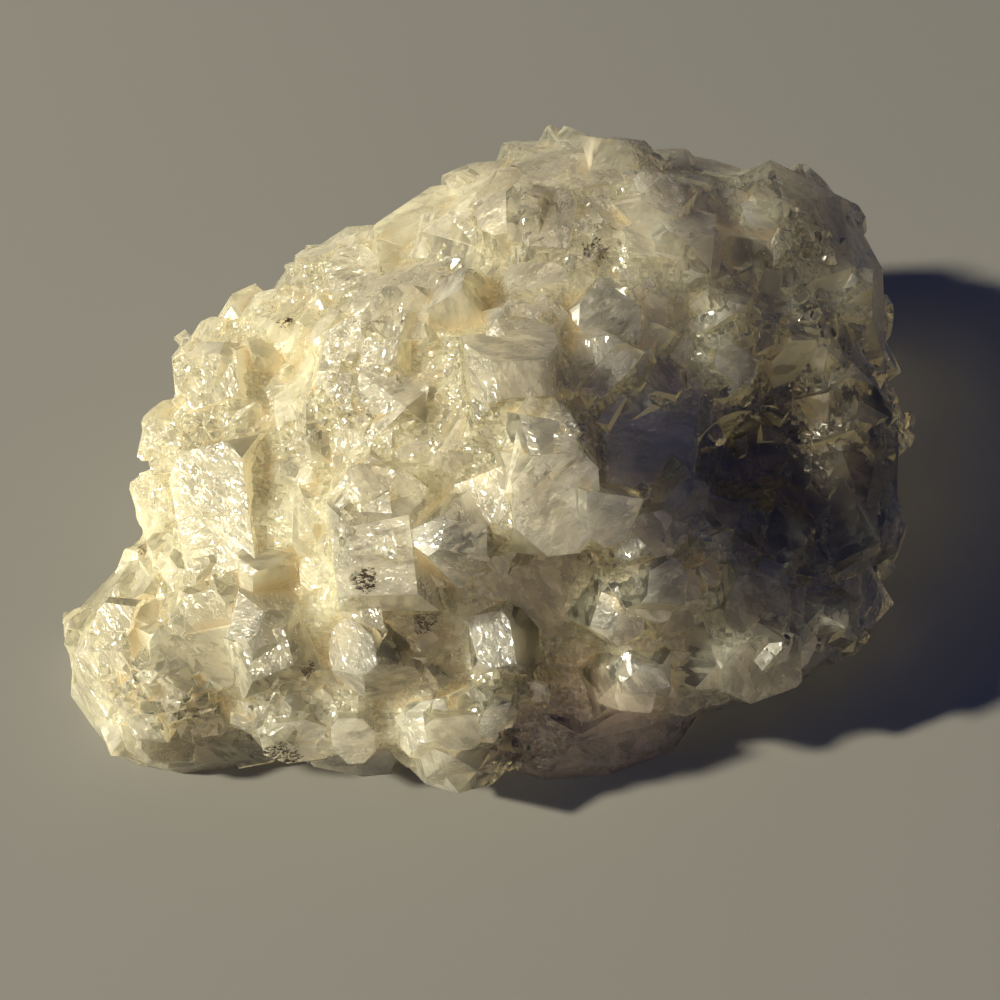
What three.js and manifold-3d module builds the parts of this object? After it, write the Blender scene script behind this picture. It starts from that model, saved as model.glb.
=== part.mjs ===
// A quartz cluster: milky, blocky crystals grown over massive quartz and fused with it into one stone.
// Millimetres, +Z up. The stone rests on the flat cut at z = 0; the origin is the middle of its underside.
// +X runs along its length to the tall end, the long gentle slope with the largest crystals faces -Y.
import * as THREE from "three";
import { ConvexGeometry } from "three/addons/geometries/ConvexGeometry.js";
import { mergeVertices } from "three/addons/utils/BufferGeometryUtils.js";
import Module from "manifold-3d";

const wasm = await Module();
wasm.setup();

const seed = 5; // changes the small crystals and the wear on every face
const rockDetail = 1; // higher gives the massive quartz smaller facets
const rockRoughness = 0.05; // how far the massive quartz moves in and out, as a share of a lump's radius
const faceTilt = 0.16; // how far a crystal's faces lean from their ideal directions
const faceShift = 0.16; // how far they move in and out, as a share of the crystal's size

const smallCrystals = 126; // crystals that fill in between the placed ones
const smallWidth = [8, 16]; // mm, most of them near the lower end
const smallLean = 0.8; // how far they lean from the surface they grow on
const smallSpacing = 0.7; // 1 keeps neighbours apart, lower lets them grow into each other
const smallSink = 0.38; // how deep they sit in the surface, as a share of their width
const lowestRoot = 5; // mm above the base, none grow below

// Massive quartz that the crystals grow from: overlapping lumps, each turned about the vertical in degrees.
const lumps = [
  { at: [6, 11, 20], radii: [51, 44, 36], turn: 12 }, // main body
  { at: [-46, -20, 4], radii: [26, 22, 23], turn: 20 }, // low tail on the left
  { at: [-28, 8, 12], radii: [31, 33, 30], turn: 25 }, // left shoulder
  { at: [-18, 30, 18], radii: [30, 24, 29], turn: 30 }, // back left
  { at: [18, 29, 37], radii: [34, 29, 25], turn: -8 }, // crown
  { at: [48, 34, 23], radii: [23, 27, 33], turn: 0 }, // tall right end
  { at: [57, 8, 12], radii: [14, 19, 29], turn: 0 }, // right waist
  { at: [41, -6, 8], radii: [26, 24, 27], turn: 25 }, // right foot
  { at: [-12, -25, 3], radii: [42, 15, 25], turn: 3 }, // front skirt
  { at: [17, -29, 0], radii: [21, 13, 20], turn: 15 }, // front toe
  { at: [-4, -2, 2], radii: [50, 36, 20], turn: 5 }, // sole
];

// Hollows in the massive quartz.
const hollows = [
  { at: [44, -5, 41], radii: [13, 8, 9], turn: 20 }, // deep on the right flank
  { at: [15, -42, 26], radii: [17, 14, 15], turn: 0 }, // smooth bay in the front
];

// Where the massive quartz stays bare: middles and radii.
const bare = [
  { at: [14, -34, 20], radius: 14 }, // the bay in the front
  { at: [19, -42, 8], radius: 12 }, // and the toe below it
  { at: [46, 44, 40], radius: 10 }, // the smooth top rim at the back right
  { at: [64, 34, 36], radius: 9 }, // and its right edge
  { at: [41, -6, 36], radius: 10 }, // the deep hollow
];

// The crystals that give the stone its look: middle, size as width, depth and length along the axis,
// the direction its tip points in, and its turn about that axis in degrees.
const crystals = [
  // Low tail on the left.
  { form: "knob", at: [-58, -31, 17], size: [10, 9, 12], axis: [-0.5, -0.5, 0.7], turn: 0 },
  { form: "block", at: [-51, -34, 18], size: [13, 11, 14], axis: [-0.3, -0.8, 0.6], turn: 25 },
  { form: "knob", at: [-50, -28, 23], size: [16, 9, 14], axis: [-0.3, -0.5, 0.8], turn: 10 },
  { form: "knob", at: [-58, -38, 9], size: [10, 9, 11], axis: [-0.4, -0.9, 0.3], turn: 0 },
  { form: "block", at: [-44, -27, 25], size: [11, 10, 13], axis: [0.0, -0.5, 0.9], turn: 15 },
  { form: "pyramid", at: [-43, -34, 21], size: [14, 13, 14], axis: [0.0, -0.8, 0.6], turn: 0 },
  { form: "pyramid", at: [-43, -38, 14], size: [12, 7, 12], axis: [0.0, -0.9, 0.4], turn: 40 },
  // Left shoulder, up to the biggest block.
  { form: "knob", at: [-52, -14, 25], size: [8, 7, 10], axis: [-0.4, -0.5, 0.7], turn: 0 },
  { form: "block", at: [-53, -1, 20], size: [9, 13, 12], axis: [-0.5, -0.4, 0.7], turn: 15 },
  { form: "block", at: [-50, 4, 28], size: [8, 10, 12], axis: [-0.6, -0.3, 0.8], turn: -15 },
  { form: "block", at: [-43, 12, 35], size: [12, 11, 13], axis: [-0.5, -0.3, 0.8], turn: 5 },
  { form: "block", at: [-47, 29, 27], size: [7, 6, 8], axis: [-0.5, -0.2, 0.9], turn: 10 },
  { form: "knob", at: [-33, 20, 38], size: [15, 12, 14], axis: [-0.3, -0.2, 0.9], turn: 0 },
  { form: "block", at: [-35, 30, 34], size: [10, 4, 8], axis: [-0.3, 0.1, 1.0], turn: 0 },
  { form: "block", at: [-39, -9, 30], size: [16, 22, 20], axis: [-0.4, -0.5, 0.8], turn: 5 },
  { form: "pyramid", at: [-28, -10, 40], size: [6, 6, 8], axis: [0.3, -0.7, 0.7], turn: 30 },
  { form: "block", at: [-27, -15, 35], size: [8, 9, 10], axis: [0.1, -0.6, 0.8], turn: 5 },
  // Front skirt.
  { form: "bevelled", at: [-33, -32, 25], size: [14, 11, 13], axis: [-0.1, -0.6, 0.8], turn: 20 },
  { form: "block", at: [-37, -24, 25], size: [8, 7, 10], axis: [0.1, -0.5, 0.9], turn: 0 },
  { form: "block", at: [-30, -37, 15], size: [13, 11, 15], axis: [0.0, -0.9, 0.3], turn: 10 },
  { form: "pyramid", at: [-30, -38, 20], size: [9, 7, 9], axis: [0.0, -0.8, 0.6], turn: 0 },
  { form: "block", at: [-30, -22, 23], size: [12, 13, 14], axis: [0.0, -0.6, 0.8], turn: 0 },
  { form: "point", at: [-15, -33, 26], size: [13, 13, 22], axis: [0.7, -0.4, 0.5], turn: 15 },
  { form: "point", at: [1, -32, 26], size: [13, 12, 16], axis: [0.1, -0.6, 0.8], turn: 0 },
  { form: "block", at: [7, -35, 19], size: [5, 3, 8], axis: [0.1, -0.7, 0.7], turn: -20 },
  { form: "pyramid", at: [-9, -40, 21], size: [5, 8, 9], axis: [-0.1, -0.8, 0.5], turn: 0 },
  { form: "block", at: [-5, -40, 19], size: [9, 7, 11], axis: [0.0, -0.9, 0.5], turn: 5 },
  { form: "block", at: [0, -39, 21], size: [5, 7, 10], axis: [0.2, -0.8, 0.5], turn: -15 },
  { form: "knob", at: [-5, -43, 10], size: [16, 11, 15], axis: [0.0, -1.0, 0.2], turn: 0 },
  { form: "pyramid", at: [-14, -42, 17], size: [5, 7, 8], axis: [-0.1, -0.9, 0.5], turn: 0 },
  { form: "block", at: [-21, -39, 16], size: [7, 10, 11], axis: [0.0, -0.9, 0.3], turn: 0 },
  // Main body.
  { form: "bevelled", at: [-15, -22, 38], size: [16, 18, 18], axis: [-0.1, -0.6, 0.8], turn: 3 },
  { form: "block", at: [-16, -15, 42], size: [13, 9, 14], axis: [0.0, -0.4, 0.9], turn: -10 },
  { form: "pyramid", at: [-26, 3, 45], size: [6, 12, 12], axis: [-0.4, -0.5, 0.7], turn: 10 },
  { form: "knob", at: [-12, -1, 47], size: [21, 17, 20], axis: [0.0, -0.6, 0.8], turn: 0 },
  { form: "block", at: [-19, 6, 48], size: [12, 13, 14], axis: [-0.3, -0.5, 0.8], turn: 20 },
  { form: "block", at: [-13, 11, 52], size: [10, 10, 13], axis: [-0.1, -0.4, 0.9], turn: 0 },
  { form: "point", at: [-5, 14, 52], size: [12, 12, 18], axis: [0.1, -0.3, 0.9], turn: 15 },
  { form: "pyramid", at: [-6, 7, 53], size: [7, 7, 10], axis: [0.0, -0.6, 0.8], turn: 0 },
  { form: "bevelled", at: [4, -2, 55], size: [14, 13, 16], axis: [0.1, -0.6, 0.8], turn: 8 },
  { form: "block", at: [5, 5, 51], size: [12, 17, 16], axis: [0.2, -0.5, 0.9], turn: 8 },
  { form: "block", at: [9, -11, 50], size: [12, 9, 14], axis: [-0.1, -0.6, 0.8], turn: 32 },
  { form: "block", at: [8, -16, 44], size: [15, 16, 20], axis: [0.2, -0.7, 0.7], turn: 8 },
  { form: "pyramid", at: [-2, -22, 44], size: [12, 14, 15], axis: [0.0, -0.8, 0.6], turn: -30 },
  // Crown.
  { form: "block", at: [-10, 37, 40], size: [19, 13, 18], axis: [-0.3, -0.1, 0.9], turn: 30 },
  { form: "knob", at: [-2, 45, 45], size: [15, 12, 14], axis: [-0.2, 0.5, 0.9], turn: 0 },
  { form: "block", at: [8, 52, 44], size: [12, 9, 12], axis: [0.0, 0.6, 0.8], turn: 20 },
  { form: "block", at: [36, 45, 45], size: [16, 10, 14], axis: [0.2, 0.6, 0.8], turn: 10 },
  { form: "knob", at: [25, 49, 46], size: [15, 10, 14], axis: [0.1, 0.6, 0.8], turn: 0 },
  { form: "block", at: [4, 28, 56], size: [11, 10, 13], axis: [-0.1, -0.2, 1.0], turn: 10 },
  { form: "block", at: [9, 25, 56], size: [9, 13, 14], axis: [0.1, -0.2, 1.0], turn: -5 },
  { form: "pyramid", at: [3, 22, 56], size: [7, 5, 8], axis: [0.0, -0.4, 0.9], turn: 0 },
  { form: "block", at: [7, 16, 54], size: [12, 7, 12], axis: [0.1, -0.4, 0.9], turn: 0 },
  { form: "knob", at: [18, 22, 60], size: [7, 6, 9], axis: [0.0, -0.1, 1.0], turn: 0 },
  { form: "pyramid", at: [15, 17, 59], size: [4, 7, 8], axis: [-0.3, -0.3, 0.9], turn: 30 },
  { form: "block", at: [26, 31, 57], size: [9, 8, 11], axis: [0.2, -0.1, 1.0], turn: 15 },
  { form: "block", at: [26, 22, 56], size: [13, 8, 13], axis: [0.2, -0.2, 1.0], turn: 5 },
  { form: "knob", at: [32, 17, 55], size: [9, 8, 11], axis: [0.4, -0.4, 0.9], turn: 0 },
  // Ridge that runs down from the crown.
  { form: "point", at: [17, 10, 54], size: [11, 11, 15], axis: [0.1, -0.5, 0.9], turn: 10 },
  { form: "pyramid", at: [20, 12, 57], size: [5, 6, 11], axis: [0.4, -0.1, 0.9], turn: -20 },
  { form: "block", at: [17, 1, 53], size: [5, 11, 11], axis: [0.3, -0.6, 0.7], turn: -38 },
  { form: "block", at: [21, 9, 52], size: [5, 13, 13], axis: [0.5, -0.5, 0.7], turn: -18 },
  { form: "block", at: [22, -19, 38], size: [13, 10, 15], axis: [0.3, -0.6, 0.7], turn: 20 },
  { form: "point", at: [20, -29, 31], size: [11, 9, 15], axis: [0.0, -0.7, 0.8], turn: -25 },
  { form: "block", at: [23, -26, 31], size: [9, 8, 13], axis: [0.3, -0.5, 0.8], turn: -20 },
  { form: "block", at: [22, -32, 19], size: [8, 12, 13], axis: [0.2, -0.7, 0.7], turn: -5 },
  // Tall right end.
  { form: "knob", at: [37, 13, 51], size: [12, 11, 14], axis: [0.4, -0.4, 0.9], turn: 0 },
  { form: "block", at: [37, 7, 47], size: [8, 6, 10], axis: [0.4, -0.5, 0.8], turn: -20 },
  { form: "block", at: [43, 32, 52], size: [6, 7, 9], axis: [0.3, -0.1, 1.0], turn: 10 },
  { form: "knob", at: [48, 32, 51], size: [6, 7, 9], axis: [0.3, -0.1, 0.9], turn: 0 },
  { form: "knob", at: [47, 26, 51], size: [7, 6, 9], axis: [0.4, -0.3, 0.9], turn: 0 },
  { form: "block", at: [50, 16, 43], size: [10, 8, 12], axis: [0.5, -0.4, 0.7], turn: 25 },
  { form: "knob", at: [57, 18, 36], size: [9, 13, 13], axis: [0.7, -0.3, 0.7], turn: 0 },
  { form: "knob", at: [55, 34, 45], size: [7, 14, 12], axis: [0.6, -0.1, 0.8], turn: 0 },
  { form: "knob", at: [61, 4, 25], size: [9, 16, 12], axis: [0.8, -0.3, 0.5], turn: 0 },
  // Right foot.
  { form: "knob", at: [47, -14, 30], size: [10, 10, 13], axis: [0.5, -0.6, 0.6], turn: 0 },
  { form: "knob", at: [58, -9, 24], size: [13, 18, 15], axis: [0.7, -0.5, 0.5], turn: 0 },
  { form: "knob", at: [35, -15, 34], size: [10, 9, 12], axis: [0.4, -0.6, 0.7], turn: 0 },
  { form: "knob", at: [54, -23, 22], size: [10, 7, 12], axis: [0.5, -0.8, 0.3], turn: 20 },
  { form: "block", at: [38, -22, 26], size: [13, 11, 14], axis: [0.4, -0.7, 0.6], turn: -15 },
  { form: "block", at: [41, -28, 19], size: [15, 13, 14], axis: [0.3, -0.8, 0.4], turn: 20 },
  { form: "block", at: [31, -29, 16], size: [13, 13, 14], axis: [0.2, -0.9, 0.5], turn: -10 },
];

const around = (count, offset = 0) =>
  Array.from({ length: count }, (_, i) => offset + (i * 2 * Math.PI) / count);

// A ring of planes: how many, their slope (the z of the normal) and their distance from the middle.
const ring = (count, slope, distance, offset = 0) =>
  around(count, offset).map((angle) => [Math.cos(angle), Math.sin(angle), slope, distance]);

// The faces of each kind of crystal, with half-width 1 and z running from -1 at the root to 1 at the tip.
const forms = {
  // Pseudo-cubic quartz: a squat block with its corners cut.
  block: [[0, 0, 1, 1], [0, 0, -1, 1], ...ring(4, 0.12, 1), ...ring(4, 0.6, 1.6, Math.PI / 4)],
  // The same with its upper edges cut, so that the flat tip is smaller.
  bevelled: [[0, 0, 1, 1], [0, 0, -1, 1], ...ring(4, 0.1, 1), ...ring(4, 1, 1.6)],
  // A six-sided prism with the six-sided point of quartz, three of its faces larger.
  point: [[0, 0, -1, 1], ...ring(6, 0.06, 0.92), ...ring(3, 1.15, 0.78), ...ring(3, 1.15, 0.86, Math.PI / 3)],
  // Three large faces that meet in a corner, over three small ones.
  pyramid: [[0, 0, -1, 1], ...ring(3, 0.85, 0.66), ...ring(3, 0.5, 0.86, Math.PI / 3)],
  // A crystal rounded off by many small faces.
  knob: [[0, 0, -1, 1], [0, 0, 1, 0.96], ...ring(4, 1.1, 1.1), ...ring(5, 0.15, 0.97, 0.3)],
};

// The same run of numbers between 0 and 1 each time, from a starting number.
function randomSource(start) {
  let state = start;
  return () => {
    state = (state + 0x6d2b79f5) | 0;
    let mixed = Math.imul(state ^ (state >>> 15), 1 | state);
    mixed = (mixed + Math.imul(mixed ^ (mixed >>> 7), 61 | mixed)) ^ mixed;
    return ((mixed ^ (mixed >>> 14)) >>> 0) / 4294967296;
  };
}

// A source that depends on a place alone, so that moving one crystal leaves the others as they are.
const sourceAt = ([x, y, z]) => randomSource(seed + Math.round(1e4 * x + 1e6 * y + 1e8 * z));
const spread = (random, width) => width * (random() - 0.5);

// Keeps position alone and merges the corners that neighbouring faces share.
function welded(geometry) {
  geometry.deleteAttribute("normal");
  geometry.deleteAttribute("uv");
  return mergeVertices(geometry, 1e-4);
}

function solidOf(geometry) {
  const closed = welded(geometry);
  const mesh = new wasm.Mesh({
    numProp: 3,
    vertProperties: closed.attributes.position.array,
    triVerts: new Uint32Array(closed.index.array),
  });
  return new wasm.Manifold(mesh);
}

function lumpSolid({ at, radii, turn }) {
  const random = sourceAt(at);
  const lump = welded(new THREE.IcosahedronGeometry(1, rockDetail));
  const position = lump.attributes.position;
  const vertex = new THREE.Vector3();
  for (let i = 0; i < position.count; i++) {
    vertex.fromBufferAttribute(position, i).multiplyScalar(1 + spread(random, rockRoughness));
    position.setXYZ(i, ...vertex);
  }
  lump.scale(...radii);
  lump.rotateZ(THREE.MathUtils.degToRad(turn));
  return solidOf(lump.translate(...at));
}

// Where three planes cross, or null when two of them run alongside each other.
function crossing(a, b, c) {
  const bc = new THREE.Vector3().crossVectors(b.normal, c.normal);
  const volume = a.normal.dot(bc);
  if (Math.abs(volume) < 1e-6) return null;
  const ca = new THREE.Vector3().crossVectors(c.normal, a.normal);
  const ab = new THREE.Vector3().crossVectors(a.normal, b.normal);
  const sum = bc.multiplyScalar(-a.constant).addScaledVector(ca, -b.constant);
  return sum.addScaledVector(ab, -c.constant).divideScalar(volume);
}

// The corners of the solid that lies inside all the planes.
function cornersOf(planes) {
  const corners = [];
  for (let i = 0; i < planes.length; i++)
    for (let j = i + 1; j < planes.length; j++)
      for (let k = j + 1; k < planes.length; k++) {
        const corner = crossing(planes[i], planes[j], planes[k]);
        if (!corner) continue;
        if (planes.some((plane) => plane.distanceToPoint(corner) > 1e-6)) continue;
        if (corners.some((other) => other.distanceTo(corner) < 0.02)) continue;
        corners.push(corner);
      }
  return corners;
}

function crystalSolid({ form, at, size, axis, turn }) {
  const random = sourceAt(at);
  const tilted = (value) => value + spread(random, faceTilt);
  const planes = forms[form].map(([x, y, z, distance]) => {
    const normal = new THREE.Vector3(tilted(x), tilted(y), tilted(z));
    const shifted = distance * (1 + spread(random, faceShift));
    return new THREE.Plane(normal.clone().normalize(), -shifted / normal.length());
  });
  const crystal = new ConvexGeometry(cornersOf(planes));
  crystal.scale(size[0] / 2, size[1] / 2, size[2] / 2);
  crystal.rotateZ(THREE.MathUtils.degToRad(turn));
  const up = new THREE.Vector3(0, 0, 1);
  const tip = new THREE.Vector3(...axis).normalize();
  crystal.applyQuaternion(new THREE.Quaternion().setFromUnitVectors(up, tip));
  return solidOf(crystal.translate(...at));
}

// Gives back a function that picks a point anywhere on the solid's surface, and the direction out of it there.
function surfacePicker(solid, random) {
  const { vertProperties, triVerts } = solid.getMesh();
  const corner = (i) => new THREE.Vector3().fromArray(vertProperties, 3 * triVerts[i]);
  const faces = [];
  let area = 0;
  for (let i = 0; i < triVerts.length; i += 3) {
    const triangle = new THREE.Triangle(corner(i), corner(i + 1), corner(i + 2));
    area += triangle.getArea();
    faces.push({ triangle, areaSoFar: area });
  }
  return () => {
    const pick = random() * area;
    const { triangle } = faces.find((face) => face.areaSoFar >= pick);
    let u = random();
    let v = random();
    if (u + v > 1) [u, v] = [1 - u, 1 - v];
    const point = triangle.a.clone().multiplyScalar(1 - u - v);
    point.addScaledVector(triangle.b, u).addScaledVector(triangle.c, v);
    return { point, outward: triangle.getNormal(new THREE.Vector3()) };
  };
}

// Small crystals over whatever the placed ones leave bare.
function growSmallCrystals(rock) {
  const random = randomSource(seed);
  const pickPoint = surfacePicker(rock, random);
  const kinds = ["block", "block", "pyramid", "point", "knob"];
  const taken = crystals.map(({ at, size }) => ({ point: new THREE.Vector3(...at), reach: size[0] / 2 }));
  const isBare = (point) => bare.some(({ at, radius }) => point.distanceTo(new THREE.Vector3(...at)) < radius);
  const grown = [];
  for (let tries = 0; tries < 20000 && grown.length < smallCrystals; tries++) {
    const { point, outward } = pickPoint();
    const width = THREE.MathUtils.lerp(...smallWidth, random() ** 2);
    const depth = width * (0.8 + 0.4 * random());
    const length = width * (0.8 + 0.5 * random());
    const form = kinds[Math.floor(random() * kinds.length)];
    const lean = new THREE.Vector3(...[0, 0, 0].map(() => spread(random, smallLean)));
    const turn = 360 * random();
    const touches = (other) => other.point.distanceTo(point) < smallSpacing * (other.reach + width / 2);
    if (point.z < lowestRoot || outward.z < -0.35 || isBare(point) || taken.some(touches)) continue;
    taken.push({ point, reach: width / 2 });
    const at = point.clone().addScaledVector(outward, -smallSink * width);
    const axis = outward.add(lean);
    grown.push({ form, at: at.toArray(), size: [width, depth, length], axis: axis.toArray(), turn });
  }
  return grown;
}

const join = (whole, next) => whole.add(next);
const massive = lumps.map(lumpSolid).reduce(join);
const rock = hollows.map(lumpSolid).reduce((whole, hollow) => whole.subtract(hollow), massive);
const encrusted = [...crystals, ...growSmallCrystals(rock)].map(crystalSolid).reduce(join, rock);
const below = solidOf(new THREE.BoxGeometry(400, 400, 100).translate(0, 0, -50));
// The stone is the largest body: a sealed void left between crystals counts as a body of its own and goes.
const pieces = encrusted.subtract(below).decompose();
const stone = pieces.reduce((largest, piece) => (piece.volume() > largest.volume() ? piece : largest));

const { vertProperties, triVerts } = stone.getMesh();
const geometry = new THREE.BufferGeometry();
geometry.setAttribute("position", new THREE.BufferAttribute(vertProperties, 3));
geometry.setIndex(new THREE.BufferAttribute(triVerts, 1));
geometry.computeBoundingBox();
const middle = geometry.boundingBox.getCenter(new THREE.Vector3());
geometry.translate(-middle.x, -middle.y, 0);
geometry.computeVertexNormals();

const milkyQuartz = new THREE.MeshStandardMaterial({ color: 0xd8cfb4, roughness: 0.35, metalness: 0 });
milkyQuartz.flatShading = true;
const cluster = new THREE.Mesh(geometry, milkyQuartz);
cluster.name = "quartz_cluster";

const root = new THREE.Group();
root.add(cluster);

export default root;
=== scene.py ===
import itertools
import math
import random

import bmesh
import bpy
import numpy as np
from mathutils import Matrix, Vector
from mathutils.bvhtree import BVHTree


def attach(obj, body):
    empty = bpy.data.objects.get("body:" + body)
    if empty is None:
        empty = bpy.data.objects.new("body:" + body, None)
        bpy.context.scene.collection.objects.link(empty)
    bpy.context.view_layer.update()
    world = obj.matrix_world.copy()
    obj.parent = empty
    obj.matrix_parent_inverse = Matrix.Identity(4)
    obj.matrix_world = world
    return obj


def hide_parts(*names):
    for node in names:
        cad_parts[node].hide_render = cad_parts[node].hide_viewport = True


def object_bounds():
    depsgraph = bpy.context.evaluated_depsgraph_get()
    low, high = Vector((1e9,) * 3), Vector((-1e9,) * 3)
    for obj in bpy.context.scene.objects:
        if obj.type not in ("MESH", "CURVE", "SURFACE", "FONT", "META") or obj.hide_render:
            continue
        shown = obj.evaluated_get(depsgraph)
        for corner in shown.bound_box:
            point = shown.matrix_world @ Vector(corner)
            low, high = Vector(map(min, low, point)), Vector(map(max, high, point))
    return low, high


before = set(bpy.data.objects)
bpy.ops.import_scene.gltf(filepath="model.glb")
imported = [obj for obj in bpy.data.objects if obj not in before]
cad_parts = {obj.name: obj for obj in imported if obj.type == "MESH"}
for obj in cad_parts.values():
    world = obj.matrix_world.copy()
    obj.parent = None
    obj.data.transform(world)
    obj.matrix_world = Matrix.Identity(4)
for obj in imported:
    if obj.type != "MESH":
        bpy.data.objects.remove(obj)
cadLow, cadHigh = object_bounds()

mm = 0.001
touching = 1e-6  # how near counts as the same when planes are cut with each other
stoneMiddle = Vector(((cadLow.x + cadHigh.x) / 2, (cadLow.y + cadHigh.y) / 2, cadLow.z))


def placeOf(x, y, z):
    # a place in millimetres from the middle of the stone's underside
    return stoneMiddle + Vector((x, y, z)) * mm


# One node: its settings come first, then the values or links of its sockets.
def addNode(tree, kind, settings=None, inputs=None):
    node = tree.nodes.new(kind)
    for key, value in (settings or {}).items():
        setattr(node, key, value)
    for key, value in (inputs or {}).items():
        if isinstance(value, Wire):
            tree.links.new(value.socket, node.inputs[key])
        else:
            node.inputs[key].default_value = value
    return node


# The same, giving back one of the node's outputs.
def wireFrom(tree, kind, settings=None, inputs=None, output=0):
    return Wire(tree, addNode(tree, kind, settings, inputs).outputs[output])


class Wire:
    def __init__(self, tree, socket):
        self.tree = tree
        self.socket = socket

    def maths(self, operation, *others):
        return mathsOf(self.tree, operation, self, *others)

    def __add__(self, other):
        return self.maths("ADD", other)

    def __radd__(self, other):
        return mathsOf(self.tree, "ADD", other, self)

    def __sub__(self, other):
        return self.maths("SUBTRACT", other)

    def __rsub__(self, other):
        return mathsOf(self.tree, "SUBTRACT", other, self)

    def __mul__(self, other):
        return self.maths("MULTIPLY", other)

    def __rmul__(self, other):
        return mathsOf(self.tree, "MULTIPLY", other, self)

    def __truediv__(self, other):
        return self.maths("DIVIDE", other)

    def __rtruediv__(self, other):
        return mathsOf(self.tree, "DIVIDE", other, self)

    def __gt__(self, other):
        return self.maths("GREATER_THAN", other)

    def __lt__(self, other):
        return self.maths("LESS_THAN", other)

    def fade(self, start, end, low=0.0, high=1.0):
        # a soft step: low before start, high after end
        return wireFrom(self.tree, "ShaderNodeMapRange", {"interpolation_type": "SMOOTHSTEP"},
                        {0: self, 1: start, 2: end, 3: low, 4: high})


def mathsOf(tree, operation, *values):
    return wireFrom(tree, "ShaderNodeMath", {"operation": operation}, dict(enumerate(values)))


def vectorMaths(tree, operation, *values, output="Vector"):
    return wireFrom(tree, "ShaderNodeVectorMath", {"operation": operation},
                    dict(enumerate(values)), output)


def scaled(tree, vector, scale):
    return wireFrom(tree, "ShaderNodeVectorMath", {"operation": "SCALE"},
                    {"Vector": vector, "Scale": scale})


def distanceTo(tree, place, at):
    return vectorMaths(tree, "DISTANCE", place, at, output="Value")


def partOf(tree, vector, axis):
    return wireFrom(tree, "ShaderNodeSeparateXYZ", {}, {0: vector}, "XYZ".index(axis))


def mixedColour(tree, share, first, second):
    first = first if isinstance(first, Wire) else (*first, 1.0)
    second = second if isinstance(second, Wire) else (*second, 1.0)
    return wireFrom(tree, "ShaderNodeMix", {"data_type": "RGBA"},
                    {0: share, 6: first, 7: second}, 2)


def noiseOf(tree, vector, scale, detail=2.0, rough=0.5):
    return wireFrom(tree, "ShaderNodeTexNoise", {}, {
        "Vector": vector, "Scale": scale, "Detail": detail, "Roughness": rough})


# A Geometry Nodes tree with the stone going in and out: the tree, its inputs, their identifiers.
def stoneTree(name, inputs):
    tree = bpy.data.node_groups.new(name, "GeometryNodeTree")
    sockets = tree.interface
    sockets.new_socket("Stone", in_out="INPUT", socket_type="NodeSocketGeometry")
    identifiers = {}
    for label, kind in inputs.items():
        socket = sockets.new_socket(label, in_out="INPUT", socket_type="NodeSocket" + kind)
        identifiers[label] = socket.identifier
    sockets.new_socket("Stone", in_out="OUTPUT", socket_type="NodeSocketGeometry")
    entry = addNode(tree, "NodeGroupInput")
    given = {output.name: Wire(tree, output) for output in entry.outputs if output.name}
    return tree, given, identifiers


def addTree(target, name, tree, identifiers, values):
    modifier = target.modifiers.new(name, "NODES")
    modifier.node_group = tree
    for label, value in values.items():
        modifier[identifiers[label]] = value


# Ends a tree: instances made real, the finish put on.
def closeTree(tree, geometry, finish):
    whole = wireFrom(tree, "GeometryNodeRealizeInstances", {}, {0: geometry})
    finished = wireFrom(tree, "GeometryNodeSetMaterial", {}, {
        "Geometry": whole, "Material": finish})
    addNode(tree, "NodeGroupOutput", {}, {0: finished})


def joined(tree, *solids):
    fused = addNode(tree, "GeometryNodeMeshBoolean", {"operation": "UNION", "solver": "MANIFOLD"})
    for solid in solids:
        tree.links.new(solid.socket, fused.inputs["Mesh 2"])
    return Wire(tree, fused.outputs[0])


# A number on every face, which stays with the faces when solids are joined.
def marked(tree, geometry, name):
    return wireFrom(tree, "GeometryNodeStoreNamedAttribute", {"domain": "FACE"}, {
        "Geometry": geometry, "Name": name, "Value": 1.0})


def mergedCopy(source, name):
    mesh = source.data.copy()
    mesh.materials.clear()
    work = bmesh.new()
    work.from_mesh(mesh)
    bmesh.ops.remove_doubles(work, verts=work.verts, dist=0.001 * mm)
    work.to_mesh(mesh)
    work.free()
    copy = bpy.data.objects.new(name, mesh)
    bpy.context.scene.collection.objects.link(copy)
    return copy


# The crust that fuses the crystals: it fills each valley up to where a ball would touch. In mm.
crust = {
    "radius": 4.5,  # of the ball
    "step": 1.1,  # smaller gives a finer crust
    "inset": 0.45,  # how far it stays under the crystals' flat faces
    "height": 1.7,  # how rough its surface is
    "grain": 2.4,  # the size of its bumps
}


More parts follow.
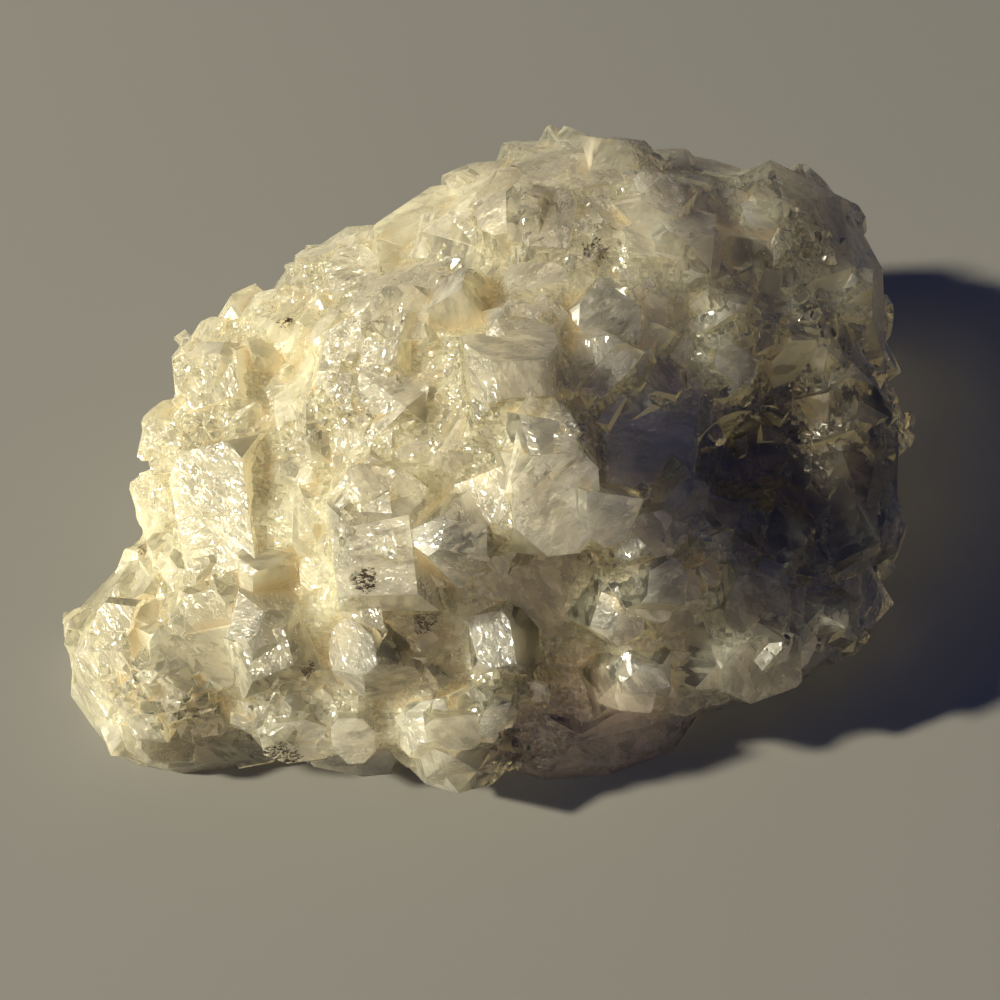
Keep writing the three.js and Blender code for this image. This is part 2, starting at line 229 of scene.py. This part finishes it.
def addCrust(target, finish):
    tree, given, identifiers = stoneTree("crustFill", {
        "radius": "Float", "step": "Float", "band": "Int", "inset": "Float", "height": "Float",
        "grain": "Float", "finish": "Material"})

    def grown(solid, distance):
        grid = wireFrom(tree, "GeometryNodeMeshToSDFGrid", {}, {
            "Mesh": solid, "Voxel Size": given["step"], "Band Width": given["band"]})
        return wireFrom(tree, "GeometryNodeGridToMesh", {}, {"Grid": grid, "Threshold": distance})

    # swelling the stone and then shrinking it again leaves its valleys full
    swollen = grown(given["Stone"], given["radius"])
    filled = grown(swollen, (given["radius"] + given["inset"]) * -1.0)
    place = wireFrom(tree, "GeometryNodeInputPosition")
    outward = wireFrom(tree, "GeometryNodeInputNormal")
    bumps = noiseOf(tree, place, 1.0 / given["grain"], 2.0, 0.6) - 0.5
    rough = wireFrom(tree, "GeometryNodeSetPosition", {}, {
        "Geometry": filled, "Offset": scaled(tree, outward, bumps * given["height"])})
    closeTree(tree, joined(tree, given["Stone"], marked(tree, rough, "crust")), given["finish"])

    values = {key: size * mm for key, size in crust.items()}
    values["band"] = math.ceil((crust["radius"] + crust["inset"]) / crust["step"]) + 2
    values["finish"] = finish
    addTree(target, "crust", tree, identifiers, values)


# Each habit is a set of rings of planes: how many, degrees down from the tip, how far out
# as a share of the crystal's width, and how far round the ring starts.
habits = {
    "block": [(4, 80, 0.46, 0), (1, 0, 0.42, 0), (4, 42, 0.52, 45), (4, 76, 0.58, 45)],
    "slab": [(4, 76, 0.44, 0), (1, 6, 0.26, 0), (4, 36, 0.38, 0)],
    "corner": [(3, 54, 0.38, 0), (3, 54, 0.48, 60), (6, 82, 0.44, 30)],
    "knob": [(5, 68, 0.44, 0), (4, 34, 0.42, 20), (1, 4, 0.42, 0)],
}
habitMix = ["block", "block", "corner", "block", "knob", "slab", "knob", "block", "corner"]
unevenness = {"round": 9, "down": 7, "out": (0.86, 1.12)}  # degrees, degrees, share
smallestEdge = 0.02  # as a share of the crystal's width


def cornersOf(planes):
    found = []
    for first, second, third in itertools.combinations(planes, 3):
        across = second[0].cross(third[0])
        bottom = first[0].dot(across)
        if abs(bottom) < touching:
            continue
        corner = (across * first[1] + third[0].cross(first[0]) * second[1]
                  + first[0].cross(second[0]) * third[1]) / bottom
        if all(normal.dot(corner) < far + touching for normal, far in planes):
            found.append(corner)
    return found


# One uneven crystal of a habit, 1 wide, its tip up and its foot half its width below the middle.
def crystalMesh(name, habit, source):
    planes = [(Vector((0, 0, -1)), 0.5)]
    for count, slope, far, turn in habits[habit]:
        for step in range(count):
            swing = source.uniform(-unevenness["round"], unevenness["round"])
            around = math.radians(360 * step / count + turn + swing)
            down = math.radians(slope + source.uniform(-unevenness["down"], unevenness["down"]))
            level = math.sin(down)
            normal = Vector((level * math.cos(around), level * math.sin(around), math.cos(down)))
            planes.append((normal, far * source.uniform(*unevenness["out"])))
    mesh = bpy.data.meshes.new(name)
    work = bmesh.new()
    for corner in cornersOf(planes):
        work.verts.new(corner)
    bmesh.ops.remove_doubles(work, verts=work.verts, dist=smallestEdge)
    bmesh.ops.convex_hull(work, input=work.verts)
    loose = [vert for vert in work.verts if not vert.link_faces]
    bmesh.ops.delete(work, geom=loose, context="VERTS")
    bmesh.ops.recalc_face_normals(work, faces=work.faces)
    work.to_mesh(mesh)
    work.free()
    return mesh


habitSource = random.Random(7)
habitShelf = bpy.data.collections.new("crystalHabits")
for number, habit in enumerate(habitMix):
    made = crystalMesh(f"habit{number}", habit, habitSource)
    habitShelf.objects.link(bpy.data.objects.new(f"habit{number}", made))

# The clearest crystals, each listed: its place in mm from the middle of the underside,
# habit, width and length in mm, which way its tip points, and degrees turned round that way.
clearCrystals = [
    ((19.0, -34.8, 31.5), "knob", 12, 12, (0.1, -0.8, 0.6), 10),
    ((24.5, -33.5, 37.0), "block", 9, 11, (0.5, -0.4, 0.8), 35),
    ((23.0, -39.2, 21.5), "knob", 11, 14, (0.2, -0.5, 0.8), 50),
    ((1.5, -37.2, 27.0), "corner", 14, 13, (0.3, -0.8, 0.5), 15),
    ((-17.5, -37.5, 26.0), "corner", 19, 17, (0.1, -0.7, 0.7), 40),
    ((-35.0, -37.0, 28.0), "knob", 13, 13, (-0.1, -0.6, 0.8), 20),
    ((-5.5, -28.5, 43.0), "block", 14, 14, (0.2, -0.6, 0.7), 25),
    ((-5.0, 5.5, 55.0), "corner", 14, 13, (0.1, -0.3, 0.9), 0),
    ((17.5, 4.0, 54.5), "block", 12, 13, (0.1, -0.5, 0.8), 30),
    ((9.0, -20.5, 53.5), "slab", 12, 13, (0.4, -0.5, 0.8), 60),
]


def addClearCrystals(target, crystals, finish):
    source = random.Random(31)
    shelf = bpy.data.collections.new("clearCrystals")
    for number, (at, habit, width, length, tip, turn) in enumerate(crystals):
        mesh = crystalMesh(f"clear{number}", habit, source)
        aimed = Vector(tip).to_track_quat("Z", "Y").to_matrix().to_4x4()
        spun = Matrix.Rotation(math.radians(turn), 4, "Z")
        sized = Matrix.Diagonal((width * mm, width * mm, length * mm, 1))
        mesh.transform(Matrix.Translation(placeOf(*at)) @ aimed @ spun @ sized)
        shelf.objects.link(bpy.data.objects.new(f"clear{number}", mesh))
    tree, given, identifiers = stoneTree("clearCrystals", {
        "shelf": "Collection", "finish": "Material"})
    taken = wireFrom(tree, "GeometryNodeCollectionInfo", {}, {"Collection": given["shelf"]})
    whole = wireFrom(tree, "GeometryNodeRealizeInstances", {}, {0: taken})
    closeTree(tree, joined(tree, given["Stone"], marked(tree, whole, "glass")), given["finish"])
    addTree(target, "clearCrystals", tree, identifiers, {"shelf": shelf, "finish": finish})


# The small crystals, one layer after the other. Spacing and width are in mm, lean in radians,
# sink is a share of the width, a lower patch lets more grow, and crustOnly 1 keeps a layer off
# the larger crystals' own faces.
growth = {
    "layers": [
        {"spacing": 6.5, "width": (8.0, 13.0), "lean": 0.35, "sink": 0.44, "patch": 0.30,
         "crustOnly": 1, "seed": 3},
        {"spacing": 3.6, "width": (4.0, 8.0), "lean": 0.40, "sink": 0.40, "patch": 0.35,
         "crustOnly": 1, "seed": 11},
        {"spacing": 2.0, "width": (1.4, 3.0), "lean": 0.6, "sink": 0.26, "patch": 0.65,
         "crustOnly": 0, "seed": 23},
    ],
    "lowest": 2.5,  # mm over the base
    "patchScale": 70.0,  # per metre
    "densest": 600000.0,  # per square metre
    "bare": [  # where nothing grows: places in mm from the middle of the underside, and radii
        ((13.3, -39.9, 20), 14),
        ((18.3, -47.9, 8), 12),
        ((45.3, 38.1, 40), 9),
        ((63.3, 28.1, 36), 8),
    ],
}


# Which points may carry a crystal.
def mayGrow(tree, given):
    place = wireFrom(tree, "GeometryNodeInputPosition")
    onCrust = wireFrom(tree, "GeometryNodeInputNamedAttribute", {}, {"Name": "crust"})
    patches = noiseOf(tree, place, growth["patchScale"], 1.0)
    may = (onCrust - given["crustOnly"] > -0.5) * (patches > given["patch"])
    may = may * (partOf(tree, place, "Z") > given["lowest"])
    for at, radius in growth["bare"]:
        may = may * (distanceTo(tree, place, placeOf(*at)) > radius * mm)
    return may


def growthTree():
    tree, given, identifiers = stoneTree("crystalGrowth", {
        "spacing": "Float", "widthLow": "Float", "widthHigh": "Float", "lean": "Float",
        "sink": "Float", "patch": "Float", "crustOnly": "Float", "lowest": "Float", "seed": "Int",
        "finish": "Material"})
    points = addNode(tree, "GeometryNodeDistributePointsOnFaces",
                     {"distribute_method": "POISSON"},
                     {"Mesh": given["Stone"], "Distance Min": given["spacing"],
                      "Density Max": growth["densest"], "Seed": given["seed"]})
    swing = wireFrom(tree, "ShaderNodeCombineXYZ", {},
                     {0: given["lean"], 1: given["lean"], 2: math.pi})
    leaning = wireFrom(tree, "FunctionNodeRandomValue", {"data_type": "FLOAT_VECTOR"},
                       {0: scaled(tree, swing, -1.0), 1: swing, 8: given["seed"] + 1})
    width = wireFrom(tree, "FunctionNodeRandomValue", {"data_type": "FLOAT"},
                     {2: given["widthLow"], 3: given["widthHigh"], 8: given["seed"] + 2}, 1)
    turned = wireFrom(tree, "FunctionNodeRotateRotation", {"rotation_space": "LOCAL"}, {
        0: Wire(tree, points.outputs["Rotation"]),
        1: wireFrom(tree, "FunctionNodeEulerToRotation", {}, {0: leaning})})
    shelf = wireFrom(tree, "GeometryNodeCollectionInfo", {}, {
        "Collection": habitShelf, "Separate Children": True, "Reset Children": True})
    grown = wireFrom(tree, "GeometryNodeInstanceOnPoints", {}, {
        "Points": Wire(tree, points.outputs["Points"]), "Selection": mayGrow(tree, given),
        "Instance": shelf, "Pick Instance": True, "Rotation": turned, "Scale": width})
    down = wireFrom(tree, "ShaderNodeCombineXYZ", {}, {2: given["sink"] * -1.0})
    sunk = wireFrom(tree, "GeometryNodeTranslateInstances", {}, {
        "Instances": grown, "Translation": down, "Local Space": True})
    closeTree(tree, joined(tree, given["Stone"], sunk), given["finish"])
    return tree, identifiers


def addGrowth(target, finish):
    tree, identifiers = growthTree()
    for number, layer in enumerate(growth["layers"]):
        thinnest, widest = layer["width"]
        addTree(target, f"growth{number}", tree, identifiers, {
            "spacing": layer["spacing"] * mm, "widthLow": thinnest * mm, "widthHigh": widest * mm,
            "lean": layer["lean"], "sink": layer["sink"], "patch": layer["patch"],
            "crustOnly": float(layer["crustOnly"]), "lowest": cadLow.z + growth["lowest"] * mm,
            "seed": layer["seed"], "finish": finish})


# The saw cut: a block as wide as this and as deep as this, in metres, takes off what lies under
# the stone's base.
sawBlock = {"width": 0.4, "depth": 0.1}


def addCut(target, finish):
    tree, given, identifiers = stoneTree("sawCut", {"height": "Float", "finish": "Material"})
    block = wireFrom(tree, "GeometryNodeMeshCube", {}, {
        "Size": (sawBlock["width"], sawBlock["width"], sawBlock["depth"])})
    middle = wireFrom(tree, "ShaderNodeCombineXYZ", {}, {
        2: given["height"] - sawBlock["depth"] / 2})
    lowered = wireFrom(tree, "GeometryNodeTransform", {}, {
        "Geometry": block, "Translation": middle})
    cut = wireFrom(tree, "GeometryNodeMeshBoolean",
                   {"operation": "DIFFERENCE", "solver": "MANIFOLD"},
                   {"Mesh 1": given["Stone"], "Mesh 2": lowered})
    closeTree(tree, cut, given["finish"])
    addTree(target, "sawCut", tree, identifiers, {"height": cadLow.z, "finish": finish})


# The modifiers' result as a plain mesh.
def settle(target):
    ready = target.evaluated_get(bpy.context.evaluated_depsgraph_get())
    mesh = bpy.data.meshes.new_from_object(ready)
    target.modifiers.clear()
    target.data = mesh


# How the faces and pockets are marked for the finish.
marks = {
    "flat": 0.9998,  # neighbours whose directions agree this well are one face
    "toneSeed": 5,
    "rays": 10,
    "reach": 9,  # mm
    "lift": 0.15,  # mm, where a ray starts over the surface
    "raySeed": 8,
}


def valuesOf(domain, name, kind, width=1):
    values = np.zeros(len(domain) * width, kind)
    domain.foreach_get(name, values)
    return values


# Triangles of one flat face share a number, faceTone, so that each face has its own finish.
def markFaces(mesh):
    normals = valuesOf(mesh.polygons, "normal", np.float32, 3).reshape(-1, 3)
    loopEdges = valuesOf(mesh.loops, "edge_index", np.int64)
    owners = np.repeat(np.arange(len(normals)), valuesOf(mesh.polygons, "loop_total", np.int64))
    order = np.argsort(loopEdges, kind="stable")
    edges, owners = loopEdges[order], owners[order]
    shared = edges[1:] == edges[:-1]
    first, second = owners[:-1][shared], owners[1:][shared]
    flat = (normals[first] * normals[second]).sum(1) > marks["flat"]
    first, second = first[flat], second[flat]
    label = np.arange(len(normals))
    while True:
        before = label.copy()
        low = np.minimum(label[first], label[second])
        np.minimum.at(label, first, low)
        np.minimum.at(label, second, low)
        label = label[label]
        if (label == before).all():
            break
    tone = np.random.default_rng(marks["toneSeed"]).random(len(normals))[label]
    made = mesh.attributes.new("faceTone", "FLOAT", "FACE")
    made.data.foreach_set("value", tone.astype(np.float32))


# How shut in each corner is between its neighbours, pocket: 0 in the open, 1 deep in a pocket. It
# lays a clay tint and painted shade in the pockets.
def markPockets(mesh):
    corners = [vert.co.copy() for vert in mesh.vertices]
    tree = BVHTree.FromPolygons(corners, [tuple(face.vertices) for face in mesh.polygons])
    source = random.Random(marks["raySeed"])
    around = []
    while len(around) < marks["rays"]:
        direction = Vector([source.uniform(-1, 1) for axis in range(3)])
        if 0.1 < direction.length < 1:
            around.append(direction.normalized())
    reach = marks["reach"] * mm
    shut = []
    for vert in mesh.vertices:
        start = vert.co + vert.normal * marks["lift"] * mm
        met = 0.0
        for direction in around:
            if direction.dot(vert.normal) < 0:
                direction = -direction
            hit = tree.ray_cast(start, direction, reach)
            if hit[0] is not None:
                met += 1 - hit[3] / reach
        shut.append(met / marks["rays"])
    made = mesh.attributes.new("pocket", "FLOAT", "POINT")
    made.data.foreach_set("value", shut)


# The finish. Places are in mm from the middle of the underside.
quartzLooks = {
    "tail": (0.84, 0.79, 0.57),  # the low end
    "middle": (0.80, 0.735, 0.56),
    # browner and darker towards the tall end: painted shade for the side away from the lamp
    "tallEndShade": (0.64, 0.56, 0.38),
    "frost": (0.98, 0.96, 0.90),
    "side": (0.68, 0.63, 0.41),  # faces that don't point out from the stone
    "stain": (0.72, 0.62, 0.40),
    "crust": (0.64, 0.60, 0.40),
    # brown clay tint and painted shade, darker deep in the pockets
    "clayAndShade": (0.40, 0.31, 0.17),  # deep in the pockets
    "speck": (0.035, 0.022, 0.012),
    "glass": (0.98, 0.97, 0.94),  # what the clear quartz lets through
    "glow": (0.80, 0.75, 0.58),  # what the milky skin lets in
    # how much of each colour is laid over those before it
    "shares": {"frostedFace": 0.3, "clearCrystal": 0.4, "side": 0.6, "stain": 0.15, "crust": 0.75,
               "crack": 0.35, "clayAndShade": 0.8},
    # where a colour starts and is full along the stone, in mm, and how far the clouds move it
    "along": {"middle": (-45, 25, 60.0), "tallEndShade": (15, 52, 40.0)},
    # the clay tint and painted pocket shade follow how shut in a corner is
    "clayAndShadeFrom": (0.20, 0.60),  # how deep a pocket is where the clay starts and is full
    "clayAndShadeRagged": 0.4,
    "stainFrom": (0.0, 0.22),  # how thick a veil is there
    "veiledFrom": (-0.10, 0.18),
    # the red-brown foot of the bay, a real tint made lighter as painted light on the front wall,
    # and the hollow on the right darkened as painted shade
    "stainsAndPaintedShading": [
        # red-brown tint, lightened as painted light
        {"at": (16, -46, 6), "colour": (0.82, 0.63, 0.46), "near": 8, "far": 24, "share": 0.80,
         "ragged": 0.0},
        # painted shade: the hollow on the right darkened
        {"at": (49, -9, 33), "colour": (0.16, 0.12, 0.08), "near": 8, "far": 28, "share": 0.85,
         "ragged": 16.0},
    ],
    "specks": [  # each with its radius in mm
        ((-14.2, 0.6, 59.6), 1.0), ((-19.1, -36.2, 42.5), 1.5), ((-33.5, -51.2, 14.2), 2.3),
        ((-39.0, -46.5, 10.0), 1.2), ((16.2, 12.6, 61.7), 1.5), ((-10.4, -37.5, 33.0), 1.5),
        ((-28.2, -43.1, 27.5), 1.0), ((-57.9, -15.9, 19.7), 1.0), ((32.8, 14.6, 57.7), 0.9),
        ((-34.4, 13.5, 44.1), 1.1),
    ],
    "speckEdge": (0.9, 1.3),  # radii where a speck starts to end and has ended
    "speckRagged": 2.0,
    "speckGrains": 0.05,  # more gives more dark grains in a speck
    "heart": (4, 0, 4),  # the crystals point away from here
    "endsFrom": (0.50, 0.90),  # how well a face agrees with that
    "cloudScale": 0.07,  # per mm
    "drawn": (0.24, 0.62, 0.40),  # how far the flaws are drawn out each way
    "drawnRound": (0.4, 0.5, 0.77),  # each face has them turned round this axis
    "veilBend": 0.10,  # how much the veils bend the plates and grains
    "crackAt": 0.47,  # the veil's height where a crack runs
    "crackWidth": 0.012,
    "crackedFaces": 0.5,  # faces with a faceTone over this have cracks
    "plateScale": 0.9,
    "grainScale": 4.8,
    "plateTilt": 0.35,
    "grainTilt": (0.03, 0.75),  # on smooth faces, and what etching adds
    "waves": 0.10,  # mm high
    "waveScale": 0.4,  # per mm
    "etching": {"ends": 0.65, "faceTone": 0.45, "clouds": 1.0, "veil": 0.6},
    "etchedFrom": (0.45, 0.70),
    "etchedCrust": 0.7,
    "clearness": 0.76,  # share of clear quartz in the mix, and what adds to it
    "clearer": {"middle": 0.10, "glass": 0.06, "plateTone": 0.14, "clouds": 0.4, "ends": -0.12,
                "veiled": -0.12, "crack": -0.25, "crust": -0.06},
    "murkyPockets": (0.25, 0.7, 1.0, 0.5),  # from depth to depth, from share to share
    "milkiness": 0.95,  # share of light that spreads in the rest
    "scatter": 20,  # mm that light spreads inside the milky quartz
    "scattered": (1.0, 0.85, 0.6),  # how far red, green and blue spread
    "milkyRough": (0.42, 0.28),  # smooth faces, etched faces
    "clearRough": (0.25, 0.85, 0.12, 0.30),  # from faceTone to faceTone, from rough to rough
    "bend": 1.544,  # index of refraction
    "absorbed": (0.80, 0.73, 0.46),  # what stays of the light in the clear quartz
    "absorbing": 24.0,  # per metre
}


# What the finish knows about each point of the stone.
def readStone(tree, looks):
    coordinates = addNode(tree, "ShaderNodeTexCoord")
    place = scaled(tree, Wire(tree, coordinates.outputs["Object"]), 1 / mm)
    seen = {"place": place}
    for name in ("faceTone", "pocket", "crust", "glass"):
        seen[name] = wireFrom(tree, "ShaderNodeAttribute", {"attribute_name": name}, {}, "Fac")
    seen["clouds"] = noiseOf(tree, place, looks["cloudScale"], 1.0) - 0.5
    alongX = partOf(tree, place, "X")
    for name, (start, full, moved) in looks["along"].items():
        seen[name] = (alongX + seen["clouds"] * moved).fade(start, full)
    # end faces point out from the stone's heart, the sides between them don't
    outward = vectorMaths(tree, "NORMALIZE", vectorMaths(tree, "SUBTRACT", place, looks["heart"]))
    facing = Wire(tree, coordinates.outputs["Normal"])
    agreement = vectorMaths(tree, "DOT_PRODUCT", facing, outward, output="Value")
    seen["ends"] = agreement.fade(*looks["endsFrom"])
    return seen


# Veils, cracks, broken plates and grains inside the crystals, drawn out in each face's own way.
def readFlaws(tree, looks, seen):
    swung = wireFrom(tree, "ShaderNodeVectorRotate", {"rotation_type": "AXIS_ANGLE"}, {
        "Vector": seen["place"], "Axis": looks["drawnRound"],
        "Angle": seen["faceTone"] * math.tau})
    drawn = vectorMaths(tree, "MULTIPLY", swung, looks["drawn"])
    veil = noiseOf(tree, drawn, 1.0, 3.0, 0.6)
    bent = scaled(tree, seen["place"], veil * looks["veilBend"])
    bent = vectorMaths(tree, "ADD", drawn, bent)
    for name in ("plate", "grain"):
        cells = wireFrom(tree, "ShaderNodeTexVoronoi", {"feature": "F1"},
                         {"Vector": bent, "Scale": looks[name + "Scale"]}, "Color")
        tilt = vectorMaths(tree, "SUBTRACT", cells, (0.5, 0.5, 0.5))
        seen[name + "Tilt"] = tilt
        seen[name + "Tone"] = partOf(tree, tilt, "X")
    crack = (veil - looks["crackAt"]).maths("ABSOLUTE").fade(0.0, looks["crackWidth"])
    seen["crack"] = (1.0 - crack) * (seen["faceTone"] > looks["crackedFaces"])
    seen["veil"] = veil - 0.5
    seen["veiled"] = seen["veil"].fade(*looks["veiledFrom"])


# 1 on the dark specks, 0 beside them.
def readSpecks(tree, looks, seen):
    away = None
    for at, radius in looks["specks"]:
        toThis = distanceTo(tree, seen["place"], at) / radius
        away = toThis if away is None else away.maths("MINIMUM", toThis)
    away = away + seen["veil"] * looks["speckRagged"] + seen["grainTone"]
    spotted = away.fade(*looks["speckEdge"], 1.0, 0.0)
    seen["speck"] = spotted * (seen["grainTone"] < looks["speckGrains"])


# Cream at the low end, greyer in the middle, browner and darker at the tall end as painted shade
# on its shaded side, then what lies over it.
def quartzColour(tree, looks, seen):
    shares = looks["shares"]
    frosted = (seen["faceTone"] * shares["frostedFace"]).maths(
        "MAXIMUM", seen["glass"] * shares["clearCrystal"])
    # painted shade with a clay tint, darkest deep in the pockets
    pocketShade = seen["pocket"] + seen["veil"] * looks["clayAndShadeRagged"]
    pocketShade = pocketShade.fade(*looks["clayAndShadeFrom"])
    colour = mixedColour(tree, seen["middle"], looks["tail"], looks["middle"])
    for share, over in (
        (seen["tallEndShade"], "tallEndShade"),
        (frosted, "frost"),
        ((1.0 - seen["ends"]) * shares["side"], "side"),
        (seen["veil"].fade(*looks["stainFrom"]) * shares["stain"], "stain"),
        (seen["crust"] * shares["crust"], "crust"),
        (seen["crack"] * shares["crack"], "frost"),
        (pocketShade * shares["clayAndShade"], "clayAndShade"),
    ):
        colour = mixedColour(tree, share, colour, looks[over])
    # tints over set places: real stain, painted light and painted shade
    for stain in looks["stainsAndPaintedShading"]:
        away = distanceTo(tree, seen["place"], stain["at"]) + seen["clouds"] * stain["ragged"]
        share = away.fade(stain["near"], stain["far"], stain["share"], 0.0)
        colour = mixedColour(tree, share, colour, stain["colour"])
    return mixedColour(tree, seen["speck"], colour, looks["speck"])


# The sum of what is seen, each times its weight.
def weighed(seen, weights, total):
    for name, weight in weights.items():
        total = total + seen[name] * weight
    return total


# How etched each face is.
def etching(looks, seen):
    etched = weighed(seen, looks["etching"], 0.0).fade(*looks["etchedFrom"])
    return etched.maths("MAXIMUM", seen["crust"] * looks["etchedCrust"])


# The direction of the surface, and of the broken plates under it.
def quartzNormals(tree, looks, seen, etched):
    waves = noiseOf(tree, seen["place"], looks["waveScale"], 0.0)
    gentle = wireFrom(tree, "ShaderNodeBump", {}, {
        "Strength": 1.0, "Distance": looks["waves"] * mm, "Height": waves})
    smooth, added = looks["grainTilt"]
    tilt = scaled(tree, seen["grainTilt"], etched * added + smooth)
    surface = vectorMaths(tree, "NORMALIZE", vectorMaths(tree, "ADD", gentle, tilt))
    plates = scaled(tree, seen["plateTilt"], looks["plateTilt"])
    inside = vectorMaths(tree, "NORMALIZE", vectorMaths(tree, "ADD", surface, plates))
    return surface, inside


# How much of the mix is clear quartz.
def clearShare(looks, seen):
    share = weighed(seen, looks["clearer"], looks["clearness"])
    return share * seen["pocket"].fade(*looks["murkyPockets"]) * (1.0 - seen["speck"])


def quartzFinish(looks):
    material = bpy.data.materials.new("milkyQuartz")
    material.use_nodes = True
    tree = material.node_tree
    tree.nodes.clear()
    seen = readStone(tree, looks)
    readFlaws(tree, looks, seen)
    readSpecks(tree, looks, seen)
    etched = etching(looks, seen)
    surface, inside = quartzNormals(tree, looks, seen, etched)
    milky = wireFrom(tree, "ShaderNodeBsdfPrincipled", {"subsurface_method": "BURLEY"}, {
        "Base Color": quartzColour(tree, looks, seen), "Normal": surface, "IOR": looks["bend"],
        "Roughness": etched.fade(0, 1, *looks["milkyRough"]),
        "Subsurface Weight": looks["milkiness"], "Subsurface Radius": looks["scattered"],
        "Subsurface Scale": looks["scatter"] * mm})
    clear = wireFrom(tree, "ShaderNodeBsdfPrincipled", {}, {
        "Base Color": (*looks["glass"], 1), "Normal": inside, "IOR": looks["bend"],
        "Roughness": seen["faceTone"].fade(*looks["clearRough"]),
        "Transmission Weight": 1.0})
    # where a ray meets the milky skin from inside, the light on its outer side shines through
    within = wireFrom(tree, "ShaderNodeNewGeometry", {}, {}, "Backfacing")
    glow = wireFrom(tree, "ShaderNodeBsdfTranslucent", {}, {"Color": (*looks["glow"], 1)})
    skin = wireFrom(tree, "ShaderNodeMixShader", {}, {0: within, 1: milky, 2: glow})
    whole = wireFrom(tree, "ShaderNodeMixShader", {}, {
        0: clearShare(looks, seen), 1: skin, 2: clear})
    depth = wireFrom(tree, "ShaderNodeVolumeAbsorption", {}, {
        "Color": (*looks["absorbed"], 1), "Density": looks["absorbing"]})
    addNode(tree, "ShaderNodeOutputMaterial", {}, {"Surface": whole, "Volume": depth})
    return material


stone = mergedCopy(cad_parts["quartz_cluster"], "milky_quartz")
print("stone copied:", len(stone.data.polygons), "faces")
milkyQuartz = quartzFinish(quartzLooks)
addCrust(stone, milkyQuartz)
addClearCrystals(stone, clearCrystals, milkyQuartz)
addGrowth(stone, milkyQuartz)
addCut(stone, milkyQuartz)
settle(stone)
print("crystals grown:", sum(len(face.vertices) - 2 for face in stone.data.polygons), "triangles")
markFaces(stone.data)
markPockets(stone.data)
print("faces and pockets marked")

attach(stone, "root")
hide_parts("quartz_cluster")

# The room round the stone: lamps stand this many metres off, their power is in watts.
room = {
    "floor": (0.192, 0.190, 0.179),
    "floorReach": 3,  # metres each way
    "floorRough": 0.85,
    "floorShine": 0.25,
    "sky": (0.17, 0.30, 1.0),
    "skyStrength": 0.15,
    "lampsAim": (0, 0, 25),  # mm from the middle of the underside
    "lamps": [
        {"name": "lowSun", "from": (-0.85, -0.11, 0.54), "off": 3.2, "size": 0.22, "power": 238,
         "colour": (0.97, 0.895, 0.67)},
        {"name": "lowBounce", "from": (-0.35, -0.90, 0.10), "off": 1.6, "size": 0.8, "power": 5.0,
         "colour": (1.0, 0.87, 0.62)},
    ],
}


def addFloor():
    far = room["floorReach"]
    mesh = bpy.data.meshes.new("floor")
    mesh.from_pydata([(-far, -far, 0), (far, -far, 0), (far, far, 0), (-far, far, 0)], [],
                     [(0, 1, 2, 3)])
    material = bpy.data.materials.new("paleFloor")
    material.use_nodes = True
    shader = material.node_tree.nodes["Principled BSDF"]
    shader.inputs["Base Color"].default_value = (*room["floor"], 1)
    shader.inputs["Roughness"].default_value = room["floorRough"]
    shader.inputs["Specular IOR Level"].default_value = room["floorShine"]
    mesh.materials.append(material)
    floor = bpy.data.objects.new("floor", mesh)
    floor.location.z = cadLow.z
    bpy.context.scene.collection.objects.link(floor)
    return floor


# Puts a lamp or a camera some metres away from a point, looking back at it.
def standOff(name, data, aim, direction, distance):
    standing = bpy.data.objects.new(name, data)
    away = Vector(direction).normalized()
    standing.location = aim + away * distance
    standing.rotation_mode = "QUATERNION"
    standing.rotation_quaternion = away.to_track_quat("Z", "Y")
    bpy.context.scene.collection.objects.link(standing)
    return standing


floor = addFloor()

sky = bpy.data.worlds.new("softRoom")
sky.use_nodes = True
background = sky.node_tree.nodes["Background"]
background.inputs["Color"].default_value = (*room["sky"], 1)
background.inputs["Strength"].default_value = room["skyStrength"]
bpy.context.scene.world = sky

for lamp in room["lamps"]:
    light = bpy.data.lights.new(lamp["name"], "AREA")
    light.shape = "DISK"
    light.size = lamp["size"]
    light.energy = lamp["power"]
    light.color = lamp["colour"]
    standOff(lamp["name"], light, placeOf(*room["lampsAim"]), lamp["from"], lamp["off"])

bpy.context.scene.view_settings.view_transform = "Standard"
print("floor and lamps set")

# aim and distance in mm, elevation in degrees, lens and sensor in mm
view = {"aim": (1.10, -8.53, 23.75), "elevation": 55, "distance": 300.9, "lens": 65, "sensor": 36}
camera = bpy.data.cameras.new("camera")
camera.lens = view["lens"]
camera.sensor_width = view["sensor"]
camera.clip_start = 0.01  # metres
rise = math.radians(view["elevation"])
bpy.context.scene.camera = standOff("camera", camera, placeOf(*view["aim"]),
                                    (0, -math.cos(rise), math.sin(rise)), view["distance"] * mm)
